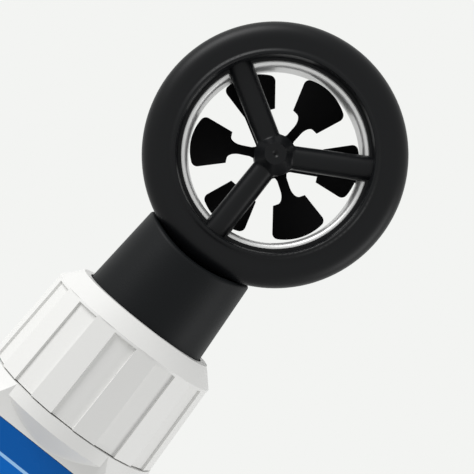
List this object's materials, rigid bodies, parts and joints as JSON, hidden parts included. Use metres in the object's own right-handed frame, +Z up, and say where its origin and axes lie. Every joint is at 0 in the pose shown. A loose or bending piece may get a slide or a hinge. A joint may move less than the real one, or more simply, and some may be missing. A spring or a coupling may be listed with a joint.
{
  "type": "vane anemometer",
  "caption": "Pen-type vane anemometer: ring-shaped wind head with a bladed impeller on a round neck, ribbed screw collar, and a white body with a display, keys and a battery cover.",
  "frame": {"origin": "centre of the flat base that the instrument stands on", "axes": "+Z up along the body towards the wind head, -Y out of the front with the display, +X to the right"},
  "size_m": [0.052, 0.039, 0.196],
  "materials": {
    "head_black": "satin moulded",
    "neck_black": "fine spark-eroded texture",
    "rotor_black": "matt moulded",
    "spider_black": "satin-gloss moulded",
    "bright_liner": "polished",
    "case_white": "satin moulded",
    "film_blue": "printed film",
    "clear_window": "polished clear",
    "lcd_grey": "liquid-crystal panel",
    "key_grey": "soft matt",
    "seal_black": "matt",
    "washer_white": "smooth low-friction plastic",
    "steel": "plain",
    "jewel": "polished jewel",
    "magnet_grey": "matt",
    "board_green": "solder mask",
    "chip_black": "moulded",
    "zebra_grey": "matt",
    "tray_grey": "moulded",
    "contact_metal": "plated",
    "cell_green": "plain sleeve"
  },
  "bodies": {
    "instrument": {"head_front_shell": "head_black", "head_rear_shell": "head_black", "bore_liner": "bright_liner", "front_spider": "spider_black", "rear_spider": "spider_black", "front_bearing": "jewel", "rear_bearing": "jewel", "hall_sensor": "chip_black", "neck": "neck_black", "neck_seal": "seal_black", "sensor_lead": "seal_black", "body_front_shell": "case_white", "body_rear_shell": "case_white", "label_panel": "film_blue", "display_window": "clear_window", "lcd_panel": "lcd_grey", "zebra_strips": "zebra_grey", "snap_domes": "contact_metal", "circuit_board": "board_green", "board_screws": "steel", "board_chips": "chip_black", "head_socket": "chip_black", "battery_tray": "tray_grey", "battery_contacts": "contact_metal", "battery_springs": "contact_metal", "left_battery": "cell_green", "right_battery": "cell_green", "case_screws": "steel"},
    "impeller": {"impeller": "rotor_black", "impeller_shaft": "steel", "rotor_magnet": "magnet_grey"},
    "washer": {"slip_washer": "washer_white"},
    "collar": {"collar": "case_white"},
    "battery_cover": {"battery_cover": "case_white"},
    "power_key": {"power_key": "key_grey"},
    "hold_key": {"hold_key": "key_grey"},
    "mode_key": {"mode_key": "key_grey"}
  },
  "joints": [
    {"name": "impeller_spin", "type": "hinge", "parent": "instrument", "child": "impeller", "pos_m": [0, 0, 0.17], "axis": [0, -1, 0], "continuous": true},
    {"name": "collar_lift", "type": "slide", "parent": "instrument", "child": "washer", "axis": [0, 0, 1], "range_m": [0, 0.0045]},
    {"name": "collar_turn", "type": "hinge", "parent": "washer", "child": "collar", "pos_m": [0, 0, 0.106], "axis": [0, 0, 1], "range_deg": [0, 1080]},
    {"name": "cover_swing", "type": "hinge", "parent": "instrument", "child": "battery_cover", "pos_m": [0, 0.017, 0.013], "axis": [-1, 0, 0], "range_deg": [0, 60]},
    {"name": "power_key_press", "type": "slide", "parent": "instrument", "child": "power_key", "axis": [0, 1, 0], "range_m": [0, 0.0008], "stiffness_N_per_m": 800},
    {"name": "hold_key_press", "type": "slide", "parent": "instrument", "child": "hold_key", "axis": [0, 1, 0], "range_m": [0, 0.0008], "stiffness_N_per_m": 800},
    {"name": "mode_key_press", "type": "slide", "parent": "instrument", "child": "mode_key", "axis": [0, 1, 0], "range_m": [0, 0.0008], "stiffness_N_per_m": 800}
  ],
  "couplings": [
    {"joint": "collar_lift", "follows": "collar_turn", "m_per_rad": 0.00023873}
  ]
}
